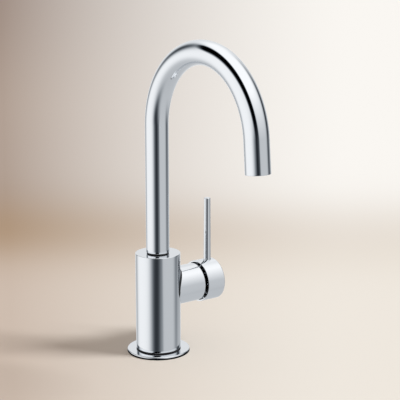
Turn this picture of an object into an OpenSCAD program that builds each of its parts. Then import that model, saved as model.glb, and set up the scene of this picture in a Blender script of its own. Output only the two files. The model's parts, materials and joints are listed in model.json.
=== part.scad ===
// Gooseneck bar faucet: a single side lever, a swivelling bent-tube spout and a hollow
// threaded shank that clamps it to a worktop. Millimetres, +Z up. The origin is on the
// worktop under the body's axis, the spout reaches towards -Y and the handle towards +X.

/* [Spout tube] */
// Outside diameter of the spout tube
tube_d = 22.2; // [21.6:0.1:24]
// Wall of the spout tube
tube_wall = 1.2; // [1:0.1:1.4]
// Height above the worktop where the riser starts to bend
riser_top = 220.6; // [180:0.1:260]
// Centreline radius of the gooseneck bend
bend_r = 72.4; // [55:0.1:95]
// Angle of the gooseneck bend
bend_deg = 175.2; // [160:0.1:180]
// Length of the straight outlet nozzle after the bend
outlet_len = 29.1; // [27:0.1:60]
// Round on the rims of the tube
tube_edge = 0.3; // [0.2:0.05:0.4]

/* [Spout joint] */
// Diameter of the adaptor's spigot, which turns in the body
spigot_d = 19; // [18:0.1:19.2]
// Length of the spigot inside the body
spigot_len = 24; // [21:0.1:26]
// Waterway through the adaptor
adaptor_bore_d = 11; // [9:0.1:12]
// Length of the adaptor brazed into the tube
braze_len = 12; // [8:0.1:20]
// Radial clearance where one piece turns inside another
running_gap = 0.06; // [0.03:0.01:0.09]
// Thickness of the seal rings' section
seal_t = 1.8; // [1.6:0.1:2]
// Distance of each seal ring's centre from its end of the spigot
seal_margin = 4.5; // [3.5:0.1:5.5]
// Thickness of the glide ring under the tube
glide_t = 1.1; // [0.8:0.1:1.6]
// How far the glide ring is set back from the tube's surface
glide_setback = 0.6; // [0.4:0.1:0.8]
// Free depth below the spigot in its socket
socket_spare = 0.6; // [0.4:0.1:1.5]
// Depth of the retaining groove round the spigot
groove_depth = 1.2; // [1:0.1:1.4]
// Diameter of the nose of the retaining screw
nose_d = 2.6; // [2.2:0.1:3]
// Play between the retaining screw's nose and its groove
nose_play = 0.3; // [0.2:0.05:0.5]
// Distance of the retaining screw's thread from the spout's socket
screw_setback = 0.3; // [0.2:0.1:0.8]
// Depth of the retaining screw's end below the body's surface
screw_sink = 1.6; // [1:0.1:5]
// Clearance between flat faces that turn or press on each other
face_gap = 0.05; // [0.02:0.01:0.1]

/* [Grub screws] */
// Thread diameter of the grub screws
grub_d = 4; // [3.4:0.1:4.4]
// Width of the hexagonal socket in each grub screw
drive_w = 2; // [1.5:0.1:2.2]
// Depth of that socket
drive_depth = 2; // [1.4:0.1:2.4]

/* [Body] */
// Diameter of the body
body_d = 43; // [42:0.1:52]
// Height of the body's flat top above the worktop
body_top = 97.5; // [92:0.1:130]
// Bevel on the body's rims
body_edge = 0.5; // [0.3:0.1:0.8]
// Diameter of the base flange
flange_d = 60; // [56:0.1:75]
// Thickness of the base flange
flange_t = 2.8; // [2.4:0.1:4]
// Round on the flange's upper rim
flange_edge = 0.9; // [0.4:0.1:1.2]
// Width of the gasket under the flange
gasket_w = 6.5; // [5:0.1:7]
// Thickness of the gasket, set flush into the flange
gasket_t = 1.2; // [0.8:0.1:1.6]
// Width of the flange's rim outside the gasket
gasket_rim = 3; // [2.5:0.1:4]
// Clearance between pieces that sit in or on each other
seat_gap = 0.1; // [0.05:0.01:0.15]

/* [Waterways] */
// Wall radius of the threaded hose inlets, for an M10 x 1 hose end
inlet_r = 4.5; // [4.2:0.1:4.8]
// Depth of the threaded hose inlets
inlet_depth = 12; // [9:0.1:16]
// Distance of each inlet's axis from the body's axis
inlet_offset = 7.8; // [7.4:0.1:8.2]
// Radius of the hot and cold ways up the body
supply_r = 3; // [2.4:0.1:3.2]
// Radius of the ports at the cartridge
port_r = 1.9; // [1.6:0.1:2]
// Height of the hot and cold ports above the handle's axis
supply_rise = 3.2; // [3:0.1:3.4]
// Sideways distance of the hot and cold ports from the handle's axis
supply_side = 4.6; // [4.4:0.1:4.8]
// Drop of the mixed water port below the handle's axis
mixed_drop = 4.4; // [4.2:0.1:4.8]
// Distance of the mixed water's riser behind the body's axis
mixed_back = 4.5; // [4:0.1:5]
// Wall of the rubber seal round each port
port_seal_wall = 1.3; // [1:0.1:1.4]
// Depth of each port's seal in the cartridge's base
port_seal_seat = 1.4; // [1:0.1:2]

/* [Cartridge] */
// Diameter of the cartridge
cartridge_d = 25; // [24.5:0.1:25.6]
// Wall between the spout's socket and the cartridge's seat
seat_wall = 2.4; // [2:0.1:3.5]
// Height that the port seals stand off the seat
seal_stand = 0.5; // [0.3:0.1:0.8]
// Thickness of the cartridge's base
base_t = 4.4; // [4:0.1:5.4]
// Thickness of each ceramic disc
disc_t = 2.8; // [2.5:0.1:3.3]
// Diameter of the fixed ceramic disc
fixed_disc_d = 20.4; // [19.8:0.1:20.6]
// Diameter of the moving ceramic disc
moving_disc_d = 17.6; // [17:0.1:17.7]
// Water film between the two ceramic discs
film = 0.05; // [0.02:0.01:0.1]
// Thickness of the disc carrier
carrier_t = 5.6; // [5.4:0.1:6.4]
// Floor of the carrier under the stem's ball
carrier_floor = 0.8; // [0.6:0.1:1]
// Radius of the stem's ball
ball_r = 2.2; // [2:0.1:2.3]
// Clearance round the stem's ball
ball_gap = 0.2; // [0.15:0.05:0.25]
// Radius of the stem's neck above the ball
stem_neck_r = 1.6; // [1.4:0.1:1.7]
// Axial play between the carrier and the stem guide
guide_play = 0.3; // [0.2:0.05:0.6]
// Wall of the cartridge's housing
housing_wall = 1.9; // [1.7:0.1:2]
// Length of the stem guide
guide_len = 8; // [7.4:0.1:10]
// Distance from the guide's inner face to the lever's pivot
pivot_set = 5.6; // [4.8:0.1:5.8]
// Diameter of the pivot pin
pivot_pin_d = 3; // [2.6:0.1:3.2]
// Thickness of the housing's outer end
housing_lip = 1.2; // [1:0.1:1.6]
// Radius of the opening in the housing's outer end
housing_mouth_r = 9; // [8.6:0.1:9.6]
// Distance that the moving disc travels from shut to full flow
disc_travel = 3.3; // [3:0.1:3.6]
// Radius of the two locating pins on the cartridge's base
pin_r = 1.1; // [0.9:0.1:1.2]
// Length of each locating pin inside the body
pin_len = 1.8; // [1.4:0.1:2.2]
// Free depth past each locating pin in its hole
pin_spare = 0.4; // [0.2:0.1:0.6]
// Distance of each locating pin from the cartridge's wall
pin_inset = 3; // [2.6:0.1:3.2]
// Drop of the locating pins below the handle's axis
pin_drop = 4; // [3.6:0.1:4.4]
// Sideways clearance of the stem in the guide's slot
stem_play = 0.4; // [0.2:0.1:0.5]
// Clearance at both ends of the stem's slot
slot_play = 0.9; // [0.7:0.1:1]
// Distance of the guide's seal ring from the guide's inner face
guide_seal_set = 1.4; // [1.2:0.1:1.6]
// Thickness of the guide's seal ring
guide_seal_t = 1; // [0.8:0.1:1.1]
// Depth of the pivot pin's ends below the guide's surface
pivot_sink = 0.6; // [0.4:0.1:1]
// Extra radius of the mouth of the carrier's ball pocket
pocket_flare = 1.2; // [1:0.1:1.5]
// Distance of that mouth's floor from the ball's centre
flare_set = 1; // [0.8:0.1:1.4]
// Depth of the recess in the moving disc's sealing face
recess_depth = 1.7; // [1:0.1:1.9]
// Width of the recess below the mixed water port
recess_low_w = 7.2; // [6:0.1:8]
// Width of the recess above the mixed water port
recess_high_w = 12.4; // [11.4:0.1:12.8]
// Reach of the recess below the mixed water port
recess_drop = 2.3; // [1.8:0.1:2.4]
// Land between the recess and the hot and cold ports when shut
port_land = 0.6; // [0.4:0.1:0.8]

/* [Handle] */
// Distance of the handle's axis below the body's top
handle_drop = 36.5; // [35:0.1:45]
// Diameter of the sleeve beside the body
sleeve_d = 36.6; // [36.2:0.1:40]
// Wall of the sleeve
sleeve_wall = 1.4; // [1:0.1:1.5]
// How far the sleeve stands past the nut's face
sleeve_lip = 0.94; // [0.7:0.01:3]
// Lean of the relief at the sleeve's inner end, where the sleeve's gasket shows
relief_deg = 14; // [8:1:18]
// Height above the handle's axis at which that relief starts
relief_rise = 6.3; // [4:0.1:8]
// How far the sleeve's gasket is set back from the sleeve's surface
gasket_setback = 0.5; // [0.3:0.1:0.7]
// Shadow gap between the sleeve and the knob
handle_gap = 2.75; // [2.2:0.05:4]
// Radial clearance of the knob's skirt over the sleeve
skirt_gap = 0.4; // [0.3:0.1:1]
// Wall of the knob's skirt
knob_wall = 1.5; // [1.2:0.1:2.5]
// Length of the knob
knob_len = 19.9; // [19.5:0.1:26]
// Thickness of the knob's closed end
knob_end_t = 3; // [2.4:0.1:3.2]
// Round on the knob's outer rim
knob_edge = 0.8; // [0.4:0.1:1.2]
// Bevel on the thin rims of the sleeve and the knob's skirt
rim_edge = 0.3; // [0.2:0.05:0.4]
// Diameter of the hub inside the knob
hub_d = 14.6; // [13.6:0.1:15.4]
// Distance of the hub's face from the knob's inner rim
hub_set = 3.4; // [3.2:0.1:4]
// Floor of the hub past the end of its square socket
hub_floor = 1.2; // [0.8:0.1:2]
// Distance of the grub screw from the hub's face
grub_set = 3.6; // [3.2:0.1:4]
// Radius of the hole under the knob that gives access to the grub screw
access_r = 2.4; // [2.2:0.1:2.8]
// Width of the square stem
stem_w = 7; // [6.6:0.1:7.2]
// Distance of the lever's axis from the knob's inner rim
lever_set = 13; // [11.4:0.1:13.6]
// Lever diameter at the knob
lever_base_d = 7; // [6.4:0.1:9]
// Lever diameter at its tip
lever_tip_d = 6.3; // [5:0.1:6.6]
// Height of the lever's tip above the handle's axis
lever_rise = 82; // [60:0.1:110]
// Round on the lever's tip
lever_edge = 0.7; // [0.3:0.1:1]
// Diameter of the stud that joins the lever to the knob
stud_d = 4; // [3:0.1:4.6]
// Length of the stud inside the lever
stud_in_lever = 8; // [6:0.1:14]
// Distance of the stud's inner end from the hub
stud_land = 1; // [0.6:0.1:2]
// Radius of the boss in the knob that holds the stud
lever_boss_r = 5; // [4.2:0.1:5.4]

/* [Cartridge nut] */
// Wall of the nut's threaded skirt outside the cartridge
nut_wall = 1.5; // [1.3:0.1:1.6]
// Threaded length of the cartridge nut
nut_thread_len = 4; // [3.4:0.1:7]
// Length of the nut's hexagon
nut_hex_len = 3; // [2.4:0.1:5]
// Width across the flats of the cartridge nut
nut_hex_w = 27; // [26:0.1:28]
// Distance of the housing's shoulder from its outer end
shoulder_drop = 2.6; // [2:0.1:3.5]
// Thickness of the dust ring behind the knob
dust_t = 0.8; // [0.6:0.1:1]
// How far the dust ring is set back from the sleeve's surface
dust_setback = 0.8; // [0.6:0.1:1.2]
// Radius of the dust ring's mouth
dust_mouth_r = 9.6; // [9.2:0.1:10]
// Depth of the dust ring's plug inside the sleeve
dust_plug = 0.6; // [0.4:0.1:0.6]

/* [Outlet] */
// Length of the nozzle's spigot brazed into the bend
nozzle_lap = 2.4; // [1.6:0.1:3]
// Wall of the nozzle's spigot
nozzle_lap_wall = 0.9; // [0.7:0.1:1.2]
// Bore radius of the ledge that the aerator's washer seats on
ledge_r = 7.4; // [7:0.1:7.8]
// Thickness of that ledge
ledge_t = 1.5; // [1:0.1:2]
// Depth of the thread inside the nozzle's mouth
mouth_recess = 1; // [0.6:0.1:2]
// Depth of the thread's wall inside the tube's bore
thread_step = 0.9; // [0.7:0.1:1.2]
// Length of the aerator's housing
aerator_len = 9.5; // [8:0.1:11]
// Wall of the aerator's housing
aerator_wall = 1; // [0.8:0.1:1.3]
// Thickness of the aerator's screen
screen_t = 0.8; // [0.6:0.1:1]
// Depth of the screen behind the aerator's face
screen_sink = 1.6; // [1.2:0.1:2]
// Plain rim round the screen's gaps
screen_rim = 1.4; // [1:0.1:2]
// Width of each gap in the screen
screen_gap = 1.1; // [0.9:0.1:1.3]
// Distance from one gap in the screen to the next
screen_pitch = 1.7; // [1.6:0.1:2]
// Depth of the aerator's face behind the thread's mouth
aerator_sink = 0.4; // [0.2:0.1:0.8]
// Width of the key slots across the aerator's face
key_w = 2; // [1.4:0.1:2.6]
// Depth of the key slots
key_depth = 1; // [0.6:0.1:1.2]
// Thickness of the flow regulator
regulator_t = 3; // [2.4:0.1:3.6]
// Distance of the flow regulator from the aerator's inner end
regulator_set = 0.6; // [0.4:0.1:1]
// Radius of the holes in the flow regulator
regulator_hole_r = 0.9; // [0.6:0.1:1.1]
// Radius of the ring that those holes lie on
regulator_ring_r = 4.8; // [4.4:0.1:5.4]
// Number of holes in the flow regulator
regulator_holes = 8; // [6:1:10]
// Thickness of the sealing washer above the aerator
washer_t = 1.6; // [1.2:0.1:2]
// Width of the sealing washer
washer_w = 2; // [1.6:0.1:2.4]

/* [Worktop mounting] */
// Thread diameter of the hollow shank
shank_d = 32; // [31.4:0.1:33]
// Wall of the hollow shank
shank_wall = 2.4; // [2:0.1:2.6]
// Length of the shank screwed into the body
shank_in_body = 9; // [7:0.1:12]
// Thickness of the worktop that is clamped
deck_t = 30; // [10:0.1:45]
// Diameter of the washers below the worktop
washer_d = 52; // [48:0.1:60]
// Radial clearance of the washers over the shank
washer_play = 0.5; // [0.3:0.1:1]
// Thickness of the rubber washer
rubber_t = 3; // [2:0.1:4]
// Thickness of the steel washer
steel_t = 1.5; // [1.2:0.1:2.5]
// Diameter of the mounting nut
mount_nut_d = 50; // [49:0.1:54]
// Thickness of the mounting nut
mount_nut_t = 9; // [7:0.1:14]
// Distance between the nut and the steel washer
jack_stand = 6; // [3:0.1:10]
// Diameter of the jack screws
jack_d = 5; // [4:0.1:5.4]
// Number of jack screws
jack_count = 3; // [2:1:4]
// Free length of the jack screws' shafts behind the nut
jack_tail = 4; // [2:0.1:8]
// Width across the flats of the jack screws' heads
jack_head_w = 7; // [6:0.1:7.4]
// Height of the jack screws' heads
jack_head_t = 3.5; // [2.5:0.1:5]
// Free thread below the mounting nut
thread_tail = 10; // [8:0.1:30]
// Length of the plain lead-in at the shank's end
lead_len = 8; // [5:0.1:12]
// Step from the thread down to the lead-in
lead_step = 0.8; // [0.5:0.1:1]

/* [Hidden] */
$fn = 96;

// How far a cutting shape runs past the face that it cuts
cut = 1;

tube_r = tube_d / 2;
bore_r = tube_r - tube_wall;
body_r = body_d / 2;
handle_z = body_top - handle_drop;

spigot_r = spigot_d / 2;
socket_r = spigot_r + running_gap;
socket_floor = body_top - spigot_len - socket_spare;
spigot_bottom = body_top - spigot_len;
tube_foot = body_top + glide_t;
seal_r = seal_t / 2;
upper_seal_z = body_top - seal_margin;
lower_seal_z = spigot_bottom + seal_margin;
retain_z = (upper_seal_z + lower_seal_z) / 2;
nose_end = spigot_r - groove_depth + nose_play;
screw_start = socket_r + screw_setback;
screw_len = body_r - screw_sink - screw_start;
grub_r = grub_d / 2;

seat_x = socket_r + seat_wall;
cartridge_r = cartridge_d / 2;
chamber_r = cartridge_r - housing_wall;
base_x = seat_x + seal_stand;
fixed_x = base_x + base_t;
moving_x = fixed_x + disc_t + film;
carrier_x = moving_x + disc_t;
guide_x = carrier_x + carrier_t + guide_play;
guide_end = guide_x + guide_len;
guide_r = chamber_r - running_gap;
pivot_x = guide_x + pivot_set;
housing_end = guide_end + guide_play + housing_lip;
shoulder_x = housing_end - shoulder_drop;
neck_r = cartridge_r - nut_wall;
port_seal_r = port_r + port_seal_wall;
guide_seal_x = guide_x + guide_seal_set;
ball_x = carrier_x + carrier_floor + ball_gap + ball_r;
ball_arm = pivot_x - ball_x;
tilt_deg = disc_travel / ball_arm * 180 / PI;
disc_shift = disc_travel / 2;

nut_r = cartridge_r + nut_wall;
boss_end = shoulder_x + nut_thread_len;
nut_end = boss_end + nut_hex_len;
sleeve_r = sleeve_d / 2;
boss_r = sleeve_r - sleeve_wall - seat_gap;
sleeve_end = nut_end + sleeve_lip;
dust_r = sleeve_r - dust_setback;

knob_x = sleeve_end + handle_gap;
knob_end = knob_x + knob_len;
skirt_r = sleeve_r + skirt_gap;
knob_r = skirt_r + knob_wall;
hub_r = hub_d / 2;
hub_x = knob_x + hub_set;
socket_w = stem_w + 2 * seat_gap;
socket_end = knob_end - knob_end_t - hub_floor;
lever_x = knob_x + lever_set;
stud_in_knob = knob_r - hub_r - stud_land;
knob_screw_x = hub_x + grub_set;

recess_top = flange_t + shank_in_body + seat_gap;
shank_r = shank_d / 2;
shank_bore_r = shank_r - shank_wall;
supply_z = handle_z + supply_rise;
mixed_z = handle_z - mixed_drop;
gasket_outer = flange_d / 2 - gasket_rim;
gasket_inner = gasket_outer - gasket_w;

rubber_top = -deck_t;
steel_top = rubber_top - rubber_t;
steel_bottom = steel_top - steel_t;
mount_nut_top = steel_bottom - jack_stand;
mount_nut_bottom = mount_nut_top - mount_nut_t;
thread_end = mount_nut_bottom - thread_tail;
shank_end = thread_end - lead_len;
washer_bore_r = shank_r + washer_play;
jack_ring_r = (shank_r + mount_nut_d / 2) / 2;
jack_r = jack_d / 2;

thread_end_z = outlet_len - mouth_recess;
thread_r = bore_r - thread_step;
aerator_r = thread_r - seat_gap;
aerator_end = thread_end_z - aerator_sink;
aerator_start = aerator_end - aerator_len;
ledge_z = aerator_start - washer_t;
aerator_bore_r = aerator_r - aerator_wall;

// A bar along +Z from z = 0 with a bevel on both rims
module turned_bar(r, h, edge) {
    rotate_extrude()
        polygon([
            [0, 0], [r - edge, 0], [r, edge],
            [r, h - edge], [r - edge, h], [0, h]
        ]);
}

// A plain ring along +Z from z = 0
module ring(outer_r, inner_r, h) {
    difference() {
        cylinder(h = h, r = outer_r);
        translate([0, 0, -cut])
            cylinder(h = h + 2 * cut, r = inner_r);
    }
}

// A ring with a bevel on its outer rims and on its bore
module bevelled_ring(outer_r, inner_r, h, edge) {
    rotate_extrude()
        polygon([
            [inner_r + edge, 0], [outer_r - edge, 0], [outer_r, edge],
            [outer_r, h - edge], [outer_r - edge, h],
            [inner_r + edge, h], [inner_r, h - edge], [inner_r, edge]
        ]);
}

// Children's +Z along the handle's axis, from x
module on_handle(x) {
    translate([x, 0, handle_z])
        rotate([0, 90, 0])
            children();
}

// Children's +Z along the flow at the end of the bend
module on_outlet() {
    translate([0, -bend_r, riser_top])
        rotate([90, 0, 90])
            rotate([0, 0, bend_deg])
                translate([bend_r, 0, 0])
                    rotate([-90, 0, 0])
                        children();
}

// The cross-section of the spout tube
module tube_section() {
    difference() {
        circle(r = tube_r);
        circle(r = bore_r);
    }
}

// A length of the spout tube along +Z, with its rim bevelled at z = 0
module straight_tube(length) {
    rotate_extrude()
        polygon([
            [bore_r, 0], [tube_r - tube_edge, 0], [tube_r, tube_edge],
            [tube_r, length], [bore_r, length]
        ]);
}

// The three port places, as bars along +X of radius r, from x over a length
module port_bars(r, x, length) {
    for (side = [-1, 1])
        translate([x, side * supply_side, supply_z])
            rotate([0, 90, 0])
                cylinder(h = length, r = r);
    translate([x, 0, mixed_z])
        rotate([0, 90, 0])
            cylinder(h = length, r = r);
}

// The hot and cold ways from the inlets up to the cartridge's seat
module supply_ways() {
    for (side = [-1, 1]) {
        translate([0, side * inlet_offset, recess_top - cut])
            cylinder(h = inlet_depth + cut, r = inlet_r);
        translate([0, side * inlet_offset, recess_top])
            cylinder(h = supply_z - recess_top + port_r, r = supply_r);
        translate([0, side * supply_side, supply_z])
            rotate([0, 90, 0])
                cylinder(h = seat_x + cut, r = port_r);
    }
}

// The mixed water's way from the seat back and up to the spout's socket
module mixed_way() {
    translate([-mixed_back, 0, mixed_z])
        rotate([0, 90, 0])
            cylinder(h = seat_x + mixed_back + cut, r = port_r);
    translate([-mixed_back, 0, mixed_z - port_r])
        cylinder(h = socket_floor - mixed_z + port_r + cut, r = supply_r);
}

// Two locating pins of the cartridge, along -X from x
module locating_pins(r, x, length) {
    for (side = [-1, 1])
        translate([x - length, side * (cartridge_r - pin_inset), handle_z - pin_drop])
            rotate([0, 90, 0])
                cylinder(h = length, r = r);
}

module body_shell() {
    color("silver")
        difference() {
            union() {
                translate([0, 0, flange_t])
                    turned_bar(body_r, body_top - flange_t, body_edge);
                on_handle(0)
                    cylinder(h = boss_end, r = boss_r);
            }
            translate([0, 0, flange_t - cut])
                cylinder(h = recess_top - flange_t + cut, r = shank_r + seat_gap);
            translate([0, 0, socket_floor])
                cylinder(h = body_top - socket_floor + cut, r = socket_r);
            on_handle(seat_x)
                cylinder(h = boss_end - seat_x + cut, r = cartridge_r + seat_gap);
            on_handle(shoulder_x)
                cylinder(h = nut_thread_len + cut, r = nut_r + seat_gap);
            supply_ways();
            mixed_way();
            locating_pins(pin_r + seat_gap, seat_x + cut, cut + pin_len + pin_spare);
            translate([0, 0, retain_z])
                rotate([-90, 0, 0])
                    cylinder(h = body_r + cut, r = grub_r + seat_gap);
        }
}

module base_flange() {
    color("silver")
        difference() {
            rotate_extrude() {
                square([flange_d / 2 - flange_edge, flange_t]);
                square([flange_d / 2, flange_t - flange_edge]);
                translate([flange_d / 2 - flange_edge, flange_t - flange_edge])
                    circle(r = flange_edge);
            }
            translate([0, 0, -cut])
                cylinder(h = flange_t + 2 * cut, r = shank_r + seat_gap);
            translate([0, 0, -cut])
                ring(gasket_outer, gasket_inner, gasket_t + cut);
        }
}

module deck_gasket() {
    color("#303030")
        ring(gasket_outer - seat_gap, gasket_inner + seat_gap, gasket_t - seat_gap);
}

module mounting_shank() {
    color("#c8b478")
        difference() {
            union() {
                translate([0, 0, thread_end])
                    cylinder(h = flange_t + shank_in_body - thread_end, r = shank_r);
                translate([0, 0, shank_end])
                    cylinder(h = lead_len + cut, r = shank_r - lead_step);
            }
            translate([0, 0, shank_end - cut])
                cylinder(h = recess_top - shank_end + 2 * cut, r = shank_bore_r);
        }
}

module rubber_washer() {
    color("#262626")
        translate([0, 0, steel_top])
            bevelled_ring(washer_d / 2, washer_bore_r, rubber_t, rim_edge);
}

module steel_washer() {
    color("#a8acb0")
        translate([0, 0, steel_bottom])
            bevelled_ring(washer_d / 2, washer_bore_r, steel_t, rim_edge);
}

// The places of the jack screws round the mounting nut
module at_jacks() {
    for (i = [0 : jack_count - 1])
        rotate([0, 0, 90 + i * 360 / jack_count])
            translate([jack_ring_r, 0, 0])
                children();
}

module mounting_nut() {
    color("#c0a868")
        difference() {
            translate([0, 0, mount_nut_bottom])
                bevelled_ring(mount_nut_d / 2, shank_r + seat_gap, mount_nut_t, body_edge);
            at_jacks()
                translate([0, 0, mount_nut_bottom - cut])
                    cylinder(h = mount_nut_t + 2 * cut, r = jack_r + seat_gap);
        }
}

module jack_screws() {
    color("#b4b8bc")
        at_jacks() {
            translate([0, 0, mount_nut_bottom - jack_tail])
                cylinder(h = jack_tail + mount_nut_t + jack_stand, r = jack_r);
            translate([0, 0, mount_nut_bottom - jack_tail - jack_head_t])
                cylinder(h = jack_head_t, d = jack_head_w / cos(30), $fn = 6);
        }
}

// The body's round over the height of the sleeve
module body_round() {
    translate([0, 0, handle_z - sleeve_r - cut])
        cylinder(h = 2 * (sleeve_r + cut), r = body_r + face_gap);
}

// The same round leaning away from the body, which clears the gasket's place in the sleeve
module leaning_round(r) {
    translate([0, 0, handle_z + relief_rise])
        rotate([0, relief_deg, 0])
            translate([0, 0, -2 * sleeve_r])
                cylinder(h = 4 * sleeve_r, r = r);
}

module handle_sleeve() {
    color("silver")
        difference() {
            on_handle(0)
                bevelled_ring(sleeve_r, boss_r + seat_gap, sleeve_end, rim_edge);
            body_round();
            leaning_round(body_r + face_gap);
        }
}

module sleeve_gasket() {
    color("#262626")
        difference() {
            intersection() {
                on_handle(0)
                    ring(sleeve_r - gasket_setback, boss_r + seat_gap, sleeve_end);
                leaning_round(body_r);
            }
            body_round();
        }
}

module dust_ring() {
    color("#101010")
        on_handle(sleeve_end)
            difference() {
                union() {
                    cylinder(h = dust_t, r = dust_r);
                    translate([0, 0, -dust_plug])
                        cylinder(h = dust_plug + dust_t, r = boss_r - seat_gap);
                }
                translate([0, 0, -cut - dust_plug])
                    cylinder(h = 2 * cut + dust_plug + dust_t, r = dust_mouth_r);
            }
}

module cartridge_nut() {
    color("#c8b478")
        on_handle(shoulder_x)
            difference() {
                union() {
                    cylinder(h = nut_thread_len, r = nut_r);
                    translate([0, 0, nut_thread_len])
                        cylinder(h = nut_hex_len, d = nut_hex_w / cos(30), $fn = 6);
                }
                translate([0, 0, -cut])
                    cylinder(h = nut_end - shoulder_x + 2 * cut, r = neck_r + seat_gap);
            }
}

module cartridge_housing() {
    color("#e8e8e4")
        difference() {
            union() {
                on_handle(fixed_x)
                    cylinder(h = shoulder_x - fixed_x, r = cartridge_r);
                on_handle(fixed_x)
                    cylinder(h = housing_end - fixed_x, r = neck_r);
            }
            on_handle(fixed_x - cut)
                cylinder(h = housing_end - housing_lip - fixed_x + cut, r = chamber_r);
            on_handle(housing_end - housing_lip - cut)
                cylinder(h = housing_lip + 2 * cut, r = housing_mouth_r);
        }
}

module cartridge_base() {
    color("#d8d4c8")
        difference() {
            union() {
                on_handle(base_x)
                    cylinder(h = base_t, r = cartridge_r);
                locating_pins(pin_r, base_x + cut, cut + seal_stand + pin_len);
            }
            port_bars(port_r, base_x - cut, base_t + 2 * cut);
            port_bars(port_seal_r + seat_gap, base_x - cut, cut + port_seal_seat);
        }
}

// Rubber bushes round the three ports, between the seat and the cartridge's base
module port_seals() {
    color("#202020")
        difference() {
            port_bars(port_seal_r, seat_x, seal_stand + port_seal_seat);
            port_bars(port_r, seat_x - cut, seal_stand + port_seal_seat + 2 * cut);
        }
}

module fixed_disc() {
    color("#f4f4f0")
        difference() {
            on_handle(fixed_x)
                cylinder(h = disc_t, r = fixed_disc_d / 2);
            port_bars(port_r, fixed_x - cut, disc_t + 2 * cut);
        }
}

// The hexagonal socket in the end of a grub screw that ends at z
module drive_socket(z) {
    translate([0, 0, z - drive_depth])
        cylinder(h = drive_depth + cut, d = drive_w / cos(30), $fn = 6);
}

// Holds the spout down: its nose runs in the groove round the spigot
module spout_screw() {
    color("#8c9094")
        translate([0, 0, retain_z])
            rotate([-90, 0, 0])
                difference() {
                    union() {
                        translate([0, 0, screw_start])
                            cylinder(h = screw_len, r = grub_r);
                        translate([0, 0, nose_end])
                            cylinder(h = screw_start - nose_end + screw_len / 2,
                                     r = nose_d / 2);
                    }
                    drive_socket(screw_start + screw_len);
                }
}

module spout_tube() {
    color("silver")
        union() {
            translate([0, 0, tube_foot])
                straight_tube(riser_top - tube_foot);
            translate([0, -bend_r, riser_top])
                rotate([90, 0, 90])
                    rotate_extrude(angle = bend_deg)
                        translate([bend_r, 0])
                            tube_section();
        }
}

module spout_adaptor() {
    color("#c8b478")
        difference() {
            union() {
                translate([0, 0, spigot_bottom])
                    cylinder(h = spigot_len + glide_t, r = spigot_r);
                translate([0, 0, tube_foot])
                    cylinder(h = braze_len, r = bore_r - seat_gap);
            }
            translate([0, 0, spigot_bottom - cut])
                cylinder(h = spigot_len + glide_t + braze_len + 2 * cut,
                         r = adaptor_bore_d / 2);
            for (z = [upper_seal_z, lower_seal_z])
                translate([0, 0, z - seal_r - seat_gap])
                    ring(spigot_r + cut, spigot_r - seal_t, seal_t + 2 * seat_gap);
            translate([0, 0, retain_z - nose_d / 2 - nose_play])
                ring(spigot_r + cut, spigot_r - groove_depth,
                     nose_d + 2 * nose_play);
        }
}

// A rubber ring round +Z, flush with a wall of radius r
module seal_ring(r, z) {
    color("#181818")
        translate([0, 0, z])
            rotate_extrude()
                translate([r - seal_r, 0])
                    circle(r = seal_r - seat_gap / 2);
}

module upper_seal_ring() {
    seal_ring(spigot_r, upper_seal_z);
}

module lower_seal_ring() {
    seal_ring(spigot_r, lower_seal_z);
}

module glide_ring() {
    color("#3a3a3c")
        translate([0, 0, body_top + face_gap])
            ring(tube_r - glide_setback, spigot_r + seat_gap, glide_t - 2 * face_gap);
}

// The turned end of the spout, brazed into the bend and threaded for the aerator
module outlet_nozzle() {
    lap_r = bore_r - seat_gap;
    lap_bore_r = lap_r - nozzle_lap_wall;
    color("silver")
        on_outlet()
            rotate_extrude()
                polygon([
                    [lap_bore_r, -nozzle_lap], [lap_r, -nozzle_lap], [lap_r, 0],
                    [tube_r, 0], [tube_r, outlet_len - tube_edge],
                    [tube_r - tube_edge, outlet_len], [bore_r, outlet_len],
                    [bore_r, thread_end_z], [thread_r, thread_end_z],
                    [thread_r, ledge_z], [ledge_r, ledge_z],
                    [ledge_r, ledge_z - ledge_t], [lap_bore_r, ledge_z - 2 * ledge_t]
                ]);
}

module aerator_housing() {
    color("#d0d0d0")
        on_outlet()
            difference() {
                translate([0, 0, aerator_start])
                    ring(aerator_r, aerator_bore_r, aerator_len);
                for (turn = [0, 90])
                    rotate([0, 0, turn])
                        translate([-aerator_r - cut, -key_w / 2, aerator_end - key_depth])
                            cube([2 * (aerator_r + cut), key_w, key_depth + cut]);
            }
}

// A round plate with square gaps, just inside the aerator's mouth
module aerator_screen() {
    screen_r = aerator_bore_r - seat_gap;
    gaps_r = screen_r - screen_rim;
    reach = floor(gaps_r / screen_pitch);
    color("#b8bcc0")
        on_outlet()
            translate([0, 0, aerator_end - screen_sink - screen_t])
                difference() {
                    cylinder(h = screen_t, r = screen_r);
                    for (i = [-reach : reach], j = [-reach : reach])
                        if (norm([i, j]) * screen_pitch < gaps_r)
                            translate([i * screen_pitch - screen_gap / 2,
                                       j * screen_pitch - screen_gap / 2, -cut])
                                cube([screen_gap, screen_gap, screen_t + 2 * cut]);
                }
}

module flow_regulator() {
    color("#8ab0c8")
        on_outlet()
            translate([0, 0, aerator_start + regulator_set])
                difference() {
                    cylinder(h = regulator_t, r = aerator_bore_r - seat_gap);
                    for (i = [0 : regulator_holes - 1])
                        rotate([0, 0, i * 360 / regulator_holes])
                            translate([regulator_ring_r, 0, -cut])
                                cylinder(h = regulator_t + 2 * cut, r = regulator_hole_r);
                }
}

module aerator_washer() {
    color("#202020")
        on_outlet()
            translate([0, 0, aerator_start - washer_t])
                ring(aerator_r, aerator_r - washer_w, washer_t - face_gap);
}

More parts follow.
